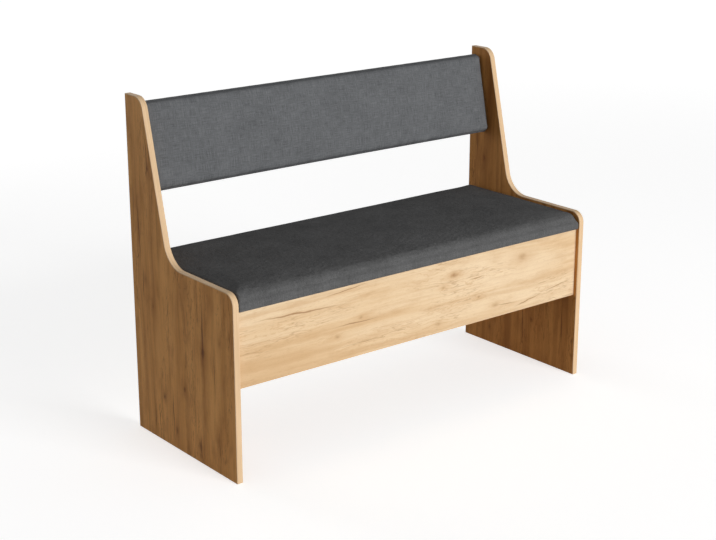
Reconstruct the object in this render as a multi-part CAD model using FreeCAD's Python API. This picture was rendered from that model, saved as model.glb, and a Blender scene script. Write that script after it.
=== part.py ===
"""Straight storage bench: two contoured side panels, a storage box between them, an upholstered
backrest, and an upholstered seat that lifts on three butt hinges.

Millimetres. X runs along the bench, the front faces -Y and +Z is up. The origin is on the floor,
in the middle of the bench's bounding box."""

import FreeCAD
import Part
import os
from math import cos, pi, radians, sin, tan

Vector = FreeCAD.Vector

# Overall size
width = 1150.0
depth = 446.0
height = 868.0
board = 16.0

# Outline of the side panels
arm_height = 469.5
top_depth = 73.0
slant = 13.4
top_radius = 35.0
elbow_radius = 72.0
arm_radius = 30.0
side_band = 2.0
side_band_chamfer = 0.8

# Storage box
box_low = 233.0
front_setback = 11.5
rear_setback = 14.0
panel_band = 1.0
bottom_thickness = 3.0
bottom_rise = 20.0
groove_depth = 6.0
groove_clearance = 0.2
groove_end_clearance = 0.5
rail_width = 40.0
rail_thickness = 18.0

# Cam and dowel joints; fasteners and their bores have flat sides, which keeps the model light
fastener_sides = 12
cam_radius = 7.5
cam_depth = 12.5
cam_setback = 34.0
cam_slot_length = 8.0
cam_slot_width = 1.4
cam_slot_depth = 2.0
bolt_thread_radius = 2.9
bolt_thread_length = 10.5
bolt_collar_radius = 3.5
bolt_collar_length = 6.0
bolt_shank_radius = 2.4
bolt_head_radius = 3.3
bolt_head_length = 2.6
dowel_radius = 4.0
dowel_length = 30.0
dowel_in_panel = 10.0
fit_clearance = 0.05
hole_end_clearance = 0.5
fitting_inset = 42.0
backrest_fitting_inset = 45.0

# Upholstery shared by the seat and the backrest
cover = 2.0
foam_clearance = 0.2
turned_thickness = 0.8
turned_overlap = 12.0
lining_thickness = 0.6
end_gap = 2.0

# Seat
seat_base = 424.0
seat_thickness = 47.0
seat_crown = 3.5
seat_front_setback = 1.0
seat_rear_setback = 5.0
seat_front_radius = 27.0
seat_rear_radius = 13.0
seat_front_bulge = 0.8
seat_front_draw_in = 1.2
seat_front_foam = 6.5
seat_end_radius = 8.0
lid_gap = 2.5

# Backrest
backrest_low = 626.7
backrest_span = 222.0
backrest_thickness = 40.0
backrest_tilt = 12.0
backrest_rear_gap = 3.0
backrest_edge_radius = 13.0
backrest_crown = 3.0
backrest_bulge = 0.4
backrest_draw_in = 1.0
backrest_edge_foam = 4.0
backrest_end_radius = 5.0
backrest_turned_width = 22.0
lining_hole_margin = 1.0

# Seat hinges
hinge_length = 60.0
hinge_leaf = 28.0
hinge_sheet = 1.5
knuckle_radius = 3.0
knuckle_count = 3
knuckle_gap = 0.3
knuckle_clearance = 0.5
pin_radius = 1.5
pin_clearance = 0.05
hinge_end_inset = 150.0
screw_from_axis = 17.0
screw_spread = 20.0
screw_head_radius = 3.5
screw_head_height = 2.0
screw_radius = 1.75
screw_length = 14.0
screw_tip = 2.5
screw_clearance = 0.05
lining_leaf_clearance = 2.0

# Rubber buffers on the front panel
buffer_radius = 5.0
buffer_clearance = 0.3
buffer_places = (-0.92, -0.32, 0.32, 0.92)

# Places worked out from the sizes above
inner_half = width / 2 - board
front_face = -depth / 2 + front_setback
front_inner = front_face + board
rear_face = depth / 2 - rear_setback
rear_inner = rear_face - board
box_top = seat_base - lid_gap
bottom_low = box_low + bottom_rise
hinge_axis_y = rear_face + knuckle_clearance + knuckle_radius
hinge_axis_z = seat_base - knuckle_clearance - knuckle_radius
notch_reach = knuckle_radius + knuckle_clearance + knuckle_gap
hinge_places = (-(inner_half - hinge_end_inset), 0.0, inner_half - hinge_end_inset)
pad_length = 2 * (inner_half - end_gap)
seat_front = -depth / 2 + seat_front_setback
seat_span = depth - seat_front_setback - seat_rear_setback
seat_lining_margin = (depth / 2 - seat_rear_setback) - (hinge_axis_y - hinge_leaf) + lining_leaf_clearance


# Basic shapes

def block(x0, x1, y0, y1, z0, z1):
    """A box between two corners."""
    return Part.makeBox(x1 - x0, y1 - y0, z1 - z0, Vector(x0, y0, z0))


def cylinder(radius, start, end):
    """A true cylinder from one point to another, for what turns."""
    return Part.makeCylinder(radius, (end - start).Length, start, end - start)


def ring(radius, along):
    """A flat-sided ring round the Z axis."""
    turns = [2 * pi * i / fastener_sides for i in range(fastener_sides + 1)]
    return Part.makePolygon([Vector(radius * cos(a), radius * sin(a), along) for a in turns])


def turned(steps, base, direction):
    """A stepped, flat-sided piece: steps are (distance along the axis, radius) from base."""
    parts = []
    for (near, near_radius), (far, far_radius) in zip(steps, steps[1:]):
        if far > near:
            rings = [ring(near_radius, near), ring(far_radius, far)]
            parts.append(Part.makeLoft(rings, True, True))
    solid = parts[0].multiFuse(parts[1:]).removeSplitter() if parts[1:] else parts[0]
    solid = solid.Solids[0]
    solid.Placement = FreeCAD.Placement(base, FreeCAD.Rotation(Vector(0, 0, 1), direction))
    return solid


def bar(radius, start, end):
    """A plain flat-sided bar or bore from one point to another."""
    return turned([(0.0, radius), ((end - start).Length, radius)], start, end - start)


def rounded_outline(corners):
    """A closed wire in the YZ plane through corners (y, z, radius), each rounded by its radius."""
    edges = []
    count = len(corners)
    starts = []
    ends = []
    for i, (y, z, radius) in enumerate(corners):
        here = Vector(0, y, z)
        back = (Vector(0, *corners[i - 1][:2]) - here).normalize()
        ahead = (Vector(0, *corners[(i + 1) % count][:2]) - here).normalize()
        half_angle = back.getAngle(ahead) / 2
        cut_back = radius / tan(half_angle)
        starts.append(here + back * cut_back)
        ends.append(here + ahead * cut_back)
        if radius:
            centre = here + (back + ahead).normalize() * (radius / sin(half_angle))
            middle = centre + (here - centre).normalize() * radius
            edges.append(Part.Arc(starts[i], middle, ends[i]).toShape())
    for i in range(count):
        edges.append(Part.LineSegment(ends[i - 1], starts[i]).toShape())
    return Part.Wire(Part.__sortEdges__(edges))


def cut_all(shape, tools):
    """The shape with every tool cut out of it."""
    return shape.cut(Part.makeCompound(tools)) if tools else shape


# Side panels and their edge bands

def side_outline(inset):
    """Corners of the side panel's outline, moved inwards by inset except along the floor."""
    lean = radians(slant)
    back = depth / 2 - inset
    front = -depth / 2 + inset
    top = height - inset
    arm = arm_height - inset
    shift = inset / cos(lean)
    edge_at_top = depth / 2 - top_depth + shift - inset * tan(lean)
    elbow = edge_at_top - (top - arm) * tan(lean)
    return [
        (back, 0.0, 0.0),
        (back, top, 0.0),
        (edge_at_top, top, top_radius - inset),
        (elbow, arm, elbow_radius + inset),
        (front, arm, arm_radius - inset),
        (front, 0.0, 0.0),
    ]


def side_slab(side, inset):
    """A slab with the side panel's outline; side is -1 on the left and 1 on the right."""
    slab = Part.Face(rounded_outline(side_outline(inset))).extrude(Vector(board, 0, 0))
    start = inner_half if side > 0 else -width / 2
    slab.translate(Vector(start, 0, 0))
    return slab


def banded_slab(side):
    """The whole panel with the long edges of its band eased."""
    slab = side_slab(side, 0.0)
    faces = (slab.BoundBox.XMin, slab.BoundBox.XMax)
    rounded = []
    for edge in slab.Edges:
        box = edge.BoundBox
        lies_in_face = box.XLength < board / 2 and min(abs(box.XMin - x) for x in faces) < board / 4
        if lies_in_face and box.ZMax > board:
            rounded.append(edge)
    return slab.makeChamfer(side_band_chamfer, rounded)


def side_pieces(side):
    """The panel's core, the band round its front and top, and the band down its back."""
    core = side_slab(side, side_band)
    band = banded_slab(side).cut(core)
    back_strip = block(-width, width, depth / 2 - side_band, depth, 0, height - side_band)
    return core, band.cut(back_strip), band.common(back_strip)


def bottom_groove(side):
    """The stopped groove in a side panel that takes an end of the box's bottom."""
    reach = sorted((side * (inner_half - groove_depth), side * (inner_half + groove_depth)))
    return block(*reach, front_inner - groove_depth, rear_inner + groove_depth,
                 bottom_low, bottom_low + bottom_thickness + groove_clearance)


# Cam and dowel joints

def cam_joint(side, y, z, facing):
    """A cam, its bolt and their bores, for a board whose end meets a side panel.

    The bolt lies at (y, z), in the middle of the board. facing points out of the board's face
    that the cam is bored into."""
    outward = Vector(side, 0, 0)
    seat = Vector(side * inner_half, y, z)
    hub = seat - outward * cam_setback
    face = hub + facing * (board / 2)
    floor = face - facing * cam_depth
    channel = bar(bolt_head_radius + foam_clearance, hub - outward * bolt_head_length, seat)
    across = facing.cross(outward)
    housing = bar(cam_radius, floor, face).cut(channel)
    slots = [cam_slot(face, facing, outward, across), cam_slot(face, facing, across, outward)]
    reach = cam_setback + bolt_head_length / 2
    bolt = turned([
        (-bolt_thread_length, bolt_thread_radius),
        (0.0, bolt_thread_radius),
        (0.0, bolt_collar_radius),
        (bolt_collar_length, bolt_collar_radius),
        (bolt_collar_length, bolt_shank_radius),
        (reach - bolt_head_length, bolt_shank_radius),
        (reach - bolt_head_length, bolt_head_radius),
        (reach, bolt_head_radius),
    ], seat, -outward)
    bolt_bore = bar(bolt_collar_radius + fit_clearance, hub, seat + outward)
    thread_hole = bar(bolt_thread_radius + fit_clearance, seat - outward,
                      seat + outward * (bolt_thread_length + hole_end_clearance))
    cam_bore = bar(cam_radius + fit_clearance, floor, face + facing * board)
    return {
        "housing": cut_all(housing, slots),
        "bolt": bolt,
        "board_bores": [cam_bore, bolt_bore],
        "panel_hole": thread_hole,
        "face_point": face,
    }


def cam_slot(face, facing, along, across):
    """One stroke of the cross recess in a cam's face."""
    corner = face - along * (cam_slot_length / 2) - across * (cam_slot_width / 2)
    corner = corner - facing * cam_slot_depth
    outline = [corner, corner + along * cam_slot_length,
               corner + along * cam_slot_length + across * cam_slot_width,
               corner + across * cam_slot_width, corner]
    return Part.Face(Part.makePolygon(outline)).extrude(facing * (2 * cam_slot_depth))


def dowel_joint(face_point, into_panel):
    """A dowel and its two holes; it crosses face_point and its short end points into_panel."""
    tip = face_point + into_panel * dowel_in_panel
    dowel = bar(dowel_radius, tip, tip - into_panel * dowel_length)
    hole = bar(dowel_radius + fit_clearance, tip + into_panel * hole_end_clearance,
               tip - into_panel * (dowel_length + hole_end_clearance))
    return dowel, hole


# Upholstered boards

class Pad:
    """A board with foam on its face, wrapped in fabric that is turned under the board's edges.

    It is made lying with its board down: X along its length, Y from its first long edge at 0 to
    its second at span, and Z from the turned-under fabric at 0 up to its face."""

    def __init__(self, span, thickness, crown, radii, end_radius, bulge, draw_in, edge_foam,
                 turned_width):
        self.span = span
        self.end_radius = end_radius
        self.thickness = thickness
        self.crown = crown
        self.radii = radii
        self.bulge = bulge
        self.draw_in = draw_in
        self.edge_foam = edge_foam
        self.turned_width = turned_width

    def section(self, x, drop, inset, floor):
        """The outline across the pad at x, lowered by drop where the end is rolled over.

        It runs on below floor, and body() trims it there to one flat face."""
        half = pad_length / 2 - inset
        fullness = 1 - (x / half) ** 2
        first = inset + self.draw_in * fullness
        second = self.span - inset
        top = self.thickness - inset - drop
        first_radius, second_radius = (radius - inset for radius in self.radii)
        slope = sin(radians(45))
        below = floor - board
        edges = [
            Part.LineSegment(Vector(x, second, below), Vector(x, first, below)),
            Part.LineSegment(Vector(x, first, below), Vector(x, first, floor)),
            Part.Arc(Vector(x, first, floor),
                     Vector(x, first - self.bulge, (floor + top - first_radius) / 2),
                     Vector(x, first, top - first_radius)),
            Part.Arc(Vector(x, first, top - first_radius),
                     Vector(x, first + first_radius * (1 - slope), top - first_radius * (1 - slope)),
                     Vector(x, first + first_radius, top)),
            Part.Arc(Vector(x, first + first_radius, top),
                     Vector(x, (first + first_radius + second - second_radius) / 2,
                            top + self.crown * (0.3 + 0.7 * fullness)),
                     Vector(x, second - second_radius, top)),
            Part.Arc(Vector(x, second - second_radius, top),
                     Vector(x, second - second_radius * (1 - slope),
                            top - second_radius * (1 - slope)),
                     Vector(x, second, top - second_radius)),
            Part.LineSegment(Vector(x, second, top - second_radius), Vector(x, second, below)),
        ]
        return Part.Wire([edge.toShape() for edge in edges])

    def body(self, inset, floor):
        """The pad's rounded form, moved inwards by inset and cut off at the height floor."""
        half = pad_length / 2 - inset
        roll = self.end_radius - inset
        stations = []
        for angle in (0, 45, 90):
            turn = radians(angle)
            stations.append((half - roll * (1 - cos(turn)), roll * (1 - sin(turn))))
        stations.append((half * 0.55, 0.0))
        mirrored = [(-x, drop) for x, drop in stations]
        places = stations + [(0.0, 0.0)] + mirrored[::-1]
        wires = [self.section(x, drop, inset, floor) for x, drop in places]
        trim = block(-width, width, -depth, depth, floor - 2 * board, floor)
        return Part.makeLoft(wires, True, True).cut(trim)

    def board_space(self, end_reach, second_reach):
        """The board's own block, lengthened past its ends and its second edge."""
        half = pad_length / 2 - cover + end_reach
        return block(-half, half, cover + self.draw_in + self.edge_foam,
                     self.span - cover + second_reach,
                     turned_thickness, turned_thickness + board)

    def wooden_board(self):
        """The chipboard that carries the foam."""
        return self.board_space(0.0, 0.0)

    def foam(self):
        """The foam over the board's face and first edge."""
        inside = self.body(cover + foam_clearance, turned_thickness)
        return inside.cut(self.board_space(cover + board, cover + board))

    def fabric(self):
        """The cover, with its edge turned under the board."""
        window = block(-pad_length / 2 + self.turned_width, pad_length / 2 - self.turned_width,
                       self.turned_width, self.span - self.turned_width,
                       -turned_thickness, 2 * turned_thickness)
        return self.body(0.0, 0.0).cut(self.body(cover, turned_thickness)).cut(window)

    def lining(self):
        """The thin cloth that closes the underside."""
        margin = self.turned_width - turned_overlap
        return block(-pad_length / 2 + margin, pad_length / 2 - margin,
                     margin, self.span - margin, -lining_thickness, 0.0)


seat_pad = Pad(seat_span, seat_thickness, seat_crown, (seat_front_radius, seat_rear_radius),
               seat_end_radius, seat_front_bulge, seat_front_draw_in, seat_front_foam,
               seat_lining_margin + turned_overlap)
backrest_pad = Pad(backrest_span, backrest_thickness, backrest_crown,
                   (backrest_edge_radius, backrest_edge_radius), backrest_end_radius,
                   backrest_bulge, backrest_draw_in, backrest_edge_foam, backrest_turned_width)


def on_seat(shape):
    """Moves a lying pad's piece to the seat's place."""
    shape.translate(Vector(0, seat_front, seat_base))
    return shape


backrest_turn = FreeCAD.Rotation(Vector(1, 0, 0), 90 - backrest_tilt)
backrest_foot = Vector(0, depth / 2 - backrest_rear_gap - backrest_span * sin(radians(backrest_tilt)),
                       backrest_low)
backrest_place = FreeCAD.Placement(backrest_foot, backrest_turn)


def on_backrest(shape):
    """Stands a lying pad's piece up at the backrest's place."""
    shape.Placement = backrest_place.multiply(shape.Placement)
    return shape


# Seat hinges

def countersunk_screw(point, direction, clearance):
    """A screw whose flat head lies at point, or with a clearance the room that it needs."""
    return turned([
        (0.0, screw_head_radius + clearance),
        (screw_head_height, screw_radius + clearance),
        (screw_length - screw_tip, screw_radius + clearance),
        (screw_length + clearance, clearance / 2 + screw_radius / 10),
    ], point, direction)


def hinge(x):
    """One butt hinge at x: its two leaves, its pin, its screws and the room they need."""
    axis = Vector(x, hinge_axis_y, hinge_axis_z)
    start = x - hinge_length / 2
    pitch = (hinge_length + knuckle_gap) / knuckle_count
    plates = {
        "fixed": block(start, start + hinge_length, rear_face, rear_face + hinge_sheet,
                       hinge_axis_z - hinge_leaf, hinge_axis_z),
        "moving": block(start, start + hinge_length, hinge_axis_y - hinge_leaf, hinge_axis_y,
                        seat_base - hinge_sheet, seat_base),
    }
    barrels = {"fixed": [], "moving": []}
    for i in range(knuckle_count):
        near = Vector(start + i * pitch, axis.y, axis.z)
        far = near + Vector(pitch - knuckle_gap, 0, 0)
        owner, other = ("fixed", "moving") if i % 2 == 0 else ("moving", "fixed")
        barrels[owner].append(cylinder(knuckle_radius, near, far))
        notch = block(near.x - knuckle_gap, far.x + knuckle_gap, axis.y - notch_reach,
                      axis.y + notch_reach, axis.z - notch_reach, axis.z + notch_reach)
        plates[other] = plates[other].cut(notch)
    bore = cylinder(pin_radius + pin_clearance, axis - Vector(hinge_length, 0, 0),
                    axis + Vector(hinge_length, 0, 0))
    pieces = {
        "pin": cylinder(pin_radius, Vector(start, axis.y, axis.z),
                        Vector(start + hinge_length, axis.y, axis.z)),
        "fixed_screws": [],
        "moving_screws": [],
        "fixed_room": [],
        "moving_room": [],
    }
    for along in (x - screw_spread, x + screw_spread):
        heads = {
            "fixed": (Vector(along, rear_face + hinge_sheet, axis.z - screw_from_axis),
                      Vector(0, -1, 0)),
            "moving": (Vector(along, axis.y - screw_from_axis, seat_base - hinge_sheet),
                       Vector(0, 0, 1)),
        }
        for owner, (point, direction) in heads.items():
            pieces[owner + "_screws"].append(countersunk_screw(point, direction, 0.0))
            pieces[owner + "_room"].append(countersunk_screw(point, direction, screw_clearance))
    for owner, plate in plates.items():
        leaf = plate.fuse(barrels[owner]).cut(bore)
        pieces[owner + "_leaf"] = cut_all(leaf, pieces[owner + "_room"]).removeSplitter()
    return pieces


# Putting the bench together

nodes = {}
left_core, nodes["side_front_band_left"], nodes["side_back_band_left"] = side_pieces(-1)
right_core, nodes["side_front_band_right"], nodes["side_back_band_right"] = side_pieces(1)
side_holes = {-1: [bottom_groove(-1)], 1: [bottom_groove(1)]}
board_holes = {"front_panel": [], "rear_panel": [], "backrest_board": [], "rail": []}
cams = []
bolts = []
dowels = []
backrest_cam_faces = []


def join_with_cam(board_name, side, y, z, facing):
    """Adds a cam joint between a board's end and a side panel."""
    joint = cam_joint(side, y, z, facing)
    cams.append(joint["housing"])
    bolts.append(joint["bolt"])
    board_holes[board_name] += joint["board_bores"]
    side_holes[side].append(joint["panel_hole"])
    return joint["face_point"]


def join_with_dowel(board_name, side, y, z):
    """Adds a dowel between a board's end and a side panel."""
    dowel, hole = dowel_joint(Vector(side * inner_half, y, z), Vector(side, 0, 0))
    dowels.append(dowel)
    board_holes[board_name].append(hole)
    side_holes[side].append(hole)


for side in (-1, 1):
    for board_name, y, facing in (("front_panel", (front_face + front_inner) / 2, Vector(0, 1, 0)),
                                  ("rear_panel", (rear_face + rear_inner) / 2, Vector(0, -1, 0))):
        for z in (box_low + fitting_inset, box_top - fitting_inset):
            join_with_cam(board_name, side, y, z, facing)
        join_with_dowel(board_name, side, y, (box_low + box_top) / 2)
    backwards = backrest_turn.multVec(Vector(0, 0, -1))
    for along in (backrest_fitting_inset, backrest_span - backrest_fitting_inset):
        centre = backrest_place.multVec(Vector(0, along, turned_thickness + board / 2))
        face = join_with_cam("backrest_board", side, centre.y, centre.z, backwards)
        backrest_cam_faces.append(face)
    centre = backrest_place.multVec(Vector(0, backrest_span / 2, turned_thickness + board / 2))
    join_with_dowel("backrest_board", side, centre.y, centre.z)

rail_low = bottom_low - rail_thickness
for panel_name, end, into in (("front_panel", front_inner, Vector(0, -1, 0)),
                              ("rear_panel", rear_inner, Vector(0, 1, 0))):
    dowel, hole = dowel_joint(Vector(0, end, rail_low + rail_thickness / 2), into)
    dowels.append(dowel)
    board_holes["rail"].append(hole)
    board_holes[panel_name].append(hole)

hinges = [hinge(x) for x in hinge_places]
for piece in hinges:
    board_holes["rear_panel"] += piece["fixed_room"]

for name, outer, inner in (("front_panel", front_face, front_inner),
                           ("rear_panel", rear_face, rear_inner)):
    low_y, high_y = sorted((outer, inner))
    inward = 1 if inner > outer else -1
    groove = sorted((inner - inward * groove_depth, inner + inward))
    tools = board_holes[name] + [block(-width, width, *groove, bottom_low,
                                       bottom_low + bottom_thickness + groove_clearance)]
    slab = block(-inner_half, inner_half, low_y, high_y, box_low + panel_band, box_top - panel_band)
    nodes[name] = cut_all(slab, tools)
    nodes[name + "_bottom_band"] = block(-inner_half, inner_half, low_y, high_y,
                                         box_low, box_low + panel_band)
    nodes[name + "_top_band"] = block(-inner_half, inner_half, low_y, high_y,
                                      box_top - panel_band, box_top)

bottom_reach = groove_depth - groove_end_clearance
nodes["box_bottom"] = block(-inner_half - bottom_reach, inner_half + bottom_reach,
                            front_inner - bottom_reach, rear_inner + bottom_reach,
                            bottom_low, bottom_low + bottom_thickness)
rail = block(-rail_width / 2, rail_width / 2, front_inner, rear_inner, rail_low, bottom_low)
nodes["bottom_support_rail"] = cut_all(rail, board_holes["rail"])
nodes["side_panel_left"] = cut_all(left_core, side_holes[-1])
nodes["side_panel_right"] = cut_all(right_core, side_holes[1])
nodes["cam_housings"] = cams
nodes["cam_bolts"] = bolts
nodes["wooden_dowels"] = dowels

nodes["backrest_board"] = cut_all(on_backrest(backrest_pad.wooden_board()),
                                  board_holes["backrest_board"])
nodes["backrest_foam"] = on_backrest(backrest_pad.foam())
nodes["backrest_cover"] = cut_all(on_backrest(backrest_pad.fabric()), board_holes["backrest_board"])
lining_holes = [bar(cam_radius + lining_hole_margin, point - backwards * board,
                    point + backwards * board) for point in backrest_cam_faces]
nodes["backrest_back_lining"] = cut_all(on_backrest(backrest_pad.lining()), lining_holes)

moving_room = [room for piece in hinges for room in piece["moving_room"]]
nodes["seat_board"] = cut_all(on_seat(seat_pad.wooden_board()), moving_room)
nodes["seat_foam"] = on_seat(seat_pad.foam())
nodes["seat_cover"] = cut_all(on_seat(seat_pad.fabric()), moving_room)
nodes["seat_underside_lining"] = on_seat(seat_pad.lining())

nodes["hinge_fixed_leaves"] = [piece["fixed_leaf"] for piece in hinges]
nodes["hinge_moving_leaves"] = [piece["moving_leaf"] for piece in hinges]
nodes["hinge_pins"] = [piece["pin"] for piece in hinges]
nodes["hinge_fixed_screws"] = [screw for piece in hinges for screw in piece["fixed_screws"]]
nodes["hinge_moving_screws"] = [screw for piece in hinges for screw in piece["moving_screws"]]

buffer_height = lid_gap - buffer_clearance
nodes["lid_buffers"] = [
    turned([(0.0, buffer_radius), (buffer_height, buffer_radius)],
           Vector(place * inner_half, (front_face + front_inner) / 2, box_top), Vector(0, 0, 1))
    for place in buffer_places
]

os.makedirs("parts", exist_ok=True)
for name, shape in nodes.items():
    solids = shape if isinstance(shape, list) else [shape]
    solids = [solid for part in solids for solid in part.Solids]
    whole = solids[0] if len(solids) == 1 else Part.makeCompound(solids)
    whole.exportStep("parts/" + name + ".step")
    valid = "valid" if whole.isValid() else "NOT VALID"
    print(name, len(solids), "solids", round(whole.Volume), "mm3", valid)
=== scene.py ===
"""The looks of the straight storage bench: oak laminate, upholstery, fittings, light and camera.

Metres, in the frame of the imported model: X along the bench, the front faces -Y, +Z is up."""

import bpy
import numpy as np
from math import atan2, cos, exp, pi, radians, sin
from mathutils import Matrix, Vector, noise


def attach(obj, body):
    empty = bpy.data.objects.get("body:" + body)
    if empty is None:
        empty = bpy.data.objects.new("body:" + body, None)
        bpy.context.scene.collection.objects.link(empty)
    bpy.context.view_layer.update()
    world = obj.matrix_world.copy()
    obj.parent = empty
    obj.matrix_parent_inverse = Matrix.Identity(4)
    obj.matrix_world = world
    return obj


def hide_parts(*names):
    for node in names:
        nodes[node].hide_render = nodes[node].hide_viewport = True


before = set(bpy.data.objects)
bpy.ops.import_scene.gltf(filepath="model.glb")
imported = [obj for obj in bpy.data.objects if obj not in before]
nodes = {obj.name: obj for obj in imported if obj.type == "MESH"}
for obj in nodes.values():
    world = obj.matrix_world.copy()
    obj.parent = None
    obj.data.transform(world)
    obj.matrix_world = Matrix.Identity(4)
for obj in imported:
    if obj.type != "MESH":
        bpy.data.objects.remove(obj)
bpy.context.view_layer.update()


# Camera, at the photograph's viewing angle

camera_place = (-2.3953, -2.9640, 1.5714)
camera_pitch = radians(17.6)
camera_yaw = radians(38.55)
focal_length = 76.6
sensor_width = 36.0

camera = bpy.data.objects.new("camera", bpy.data.cameras.new("camera"))
camera.location = camera_place
camera.rotation_euler = (pi / 2 - camera_pitch, 0, -camera_yaw)
camera.data.lens = focal_length
camera.data.sensor_width = sensor_width
camera.data.clip_end = 60
bpy.context.scene.collection.objects.link(camera)
bpy.context.scene.camera = camera
bpy.context.scene.view_settings.view_transform = "Standard"


# Materials: helpers that add nodes

class Finish:
    """One material, and the nodes that give its colour, gloss and relief."""

    def __init__(self, name, roughness, **settings):
        self.material = bpy.data.materials.new(name)
        self.material.use_nodes = True
        self.tree = self.material.node_tree
        self.shader = next(n for n in self.tree.nodes if n.type == "BSDF_PRINCIPLED")
        self.shader.inputs["Roughness"].default_value = roughness
        for socket, value in settings.items():
            self.shader.inputs[socket.replace("_", " ")].default_value = value
        self.place = self.add("ShaderNodeTexCoord").outputs["Object"]

    def add(self, kind, feeds=(), **settings):
        """A node with its settings made and its first inputs fed; None leaves an input as it is."""
        node = self.tree.nodes.new(kind)
        for key, value in settings.items():
            setattr(node, key, value)
        for socket, value in zip(node.inputs, feeds):
            self.feed(socket, value)
        return node

    def feed(self, socket, value):
        if isinstance(value, bpy.types.NodeSocket):
            self.tree.links.new(value, socket)
        elif value is not None:
            socket.default_value = value

    def math(self, operation, *values):
        return self.add("ShaderNodeMath", values, operation=operation).outputs[0]

    def swing(self, noise, reach):
        """Noise from 0 to 1 brought to the range -reach..reach."""
        return self.math("MULTIPLY_ADD", noise, 2 * reach, -reach)

    def vector(self, operation, *values):
        return self.add("ShaderNodeVectorMath", values, operation=operation).outputs[0]

    def split(self, place):
        return self.add("ShaderNodeSeparateXYZ", [place]).outputs

    def join(self, x, y, z=0.0):
        return self.add("ShaderNodeCombineXYZ", [x, y, z]).outputs[0]

    def noise(self, place, scale=1.0, detail=2.0, roughness=0.5):
        """Noise from 0 to 1, about 0.5 on average."""
        node = self.add("ShaderNodeTexNoise")
        self.feed(node.inputs["Vector"], place)
        node.inputs["Scale"].default_value = scale
        node.inputs["Detail"].default_value = detail
        node.inputs["Roughness"].default_value = roughness
        return node.outputs[0]

    def cells(self, place, scale, output="Distance"):
        node = self.add("ShaderNodeTexVoronoi")
        self.feed(node.inputs["Vector"], place)
        node.inputs["Scale"].default_value = scale
        return node.outputs[output]

    def spread(self, value, low, high, to_low=0.0, to_high=1.0):
        """value brought smoothly from the range low..high to the range to_low..to_high."""
        feeds = [value, low, high, to_low, to_high]
        return self.add("ShaderNodeMapRange", feeds, interpolation_type="SMOOTHSTEP").outputs[0]

    def mix(self, factor, first, second, blend="MIX"):
        node = self.add("ShaderNodeMix", data_type="RGBA", blend_type=blend)
        self.feed(node.inputs[0], factor)
        self.feed(node.inputs[6], colour(first))
        self.feed(node.inputs[7], colour(second))
        return node.outputs[2]

    def relief(self, height, depth, strength=1.0):
        """Feeds a bump to the shader; depth is the height's full range in metres."""
        node = self.add("ShaderNodeBump")
        node.inputs["Strength"].default_value = strength
        node.inputs["Distance"].default_value = depth
        self.feed(node.inputs["Height"], height)
        self.tree.links.new(node.outputs[0], self.shader.inputs["Normal"])

    def paint(self, tint, gloss=None):
        """Feeds the shader's colour and, where given, its roughness."""
        self.feed(self.shader.inputs["Base Color"], tint)
        if gloss is not None:
            self.feed(self.shader.inputs["Roughness"], gloss)
        return self.material


def colour(value):
    """A linear colour of three numbers gets its alpha; a socket passes through."""
    return (*value, 1.0) if isinstance(value, tuple) else value


# Oak laminate: grain that flows round knots, with cracks, streaks and pores

# Reach of a knot's marks along and across the grain, in its radii, and how far it bends the grain
bend_reach = (11.0, 4.2)
heart_reach = (2.4, 1.5)
shade_reach = (7.0, 2.8)
bend_strength = 3.0
# The shade round a crack: its length in the crack's own, its half width, and how dark it is
crack_shade_stretch = 1.2
crack_shade_width = 0.011
crack_shade_share = 0.55
# How far the grain sways and ripples, and how ragged marks are along and across it
sway_reach = 0.010
sway_ripple = 0.0024
ragged_along = 0.008
ragged_across = 0.0035
rings_per_metre = 95.0


def grain_place(finish, along, across):
    """The point on a board's face as (along the grain, across it)."""
    axes = finish.split(finish.place)
    return finish.join(axes["XYZ".index(along)], axes["XYZ".index(across)])


def grain_noise(finish, place, fineness, detail, roughness=0.5):
    """Noise of one fineness along the grain and another across it."""
    stretched = finish.vector("MULTIPLY", place, (*fineness, 1.0))
    return finish.noise(stretched, detail=detail, roughness=roughness)


def patch(finish, place, centre, size, turn=0.0):
    """1 in the middle of an ellipse on the face and 0 at its rim, and the point in its own axes."""
    node = finish.add("ShaderNodeMapping", vector_type="TEXTURE")
    finish.feed(node.inputs["Vector"], place)
    node.inputs["Location"].default_value = (*centre, 0.0)
    node.inputs["Rotation"].default_value = (0.0, 0.0, radians(turn))
    node.inputs["Scale"].default_value = (*size, 1.0)
    ball = finish.add("ShaderNodeTexGradient", [node.outputs[0]], gradient_type="SPHERICAL")
    return ball.outputs[1], node.outputs[0]


def marks(finish, place, ragged, knots, cracks, figure):
    """How far knots push the grain aside, their hearts, the shade round marks, and the cracks."""
    push = hearts = shades = lines = 0.0
    for u, v, radius, darkness in knots:
        near, local = patch(finish, place, (u, v), [radius * reach for reach in bend_reach])
        bend = finish.math("MULTIPLY", finish.split(local)[1], finish.math("MULTIPLY", near, near))
        push = finish.math("MULTIPLY_ADD", bend, -bend_strength * radius, push)
        heart, _ = patch(finish, ragged, (u, v), [radius * reach for reach in heart_reach])
        hearts = finish.math("MAXIMUM", hearts, finish.math("MULTIPLY", heart, darkness))
        shade, _ = patch(finish, ragged, (u, v), [radius * reach for reach in shade_reach])
        shades = finish.math("MAXIMUM", shades, finish.math("MULTIPLY", shade, darkness))
    for u, v, half_length, half_width, turn in cracks:
        streak, _ = patch(finish, ragged, (u, v), (half_length, half_width), turn)
        lines = finish.math("MAXIMUM", lines, streak)
        around = (half_length * crack_shade_stretch, crack_shade_width)
        shade, _ = patch(finish, ragged, (u, v), around, turn)
        shade = finish.math("MULTIPLY", shade, crack_shade_share * figure)
        shades = finish.math("MAXIMUM", shades, shade)
    return push, hearts, shades, lines


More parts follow.
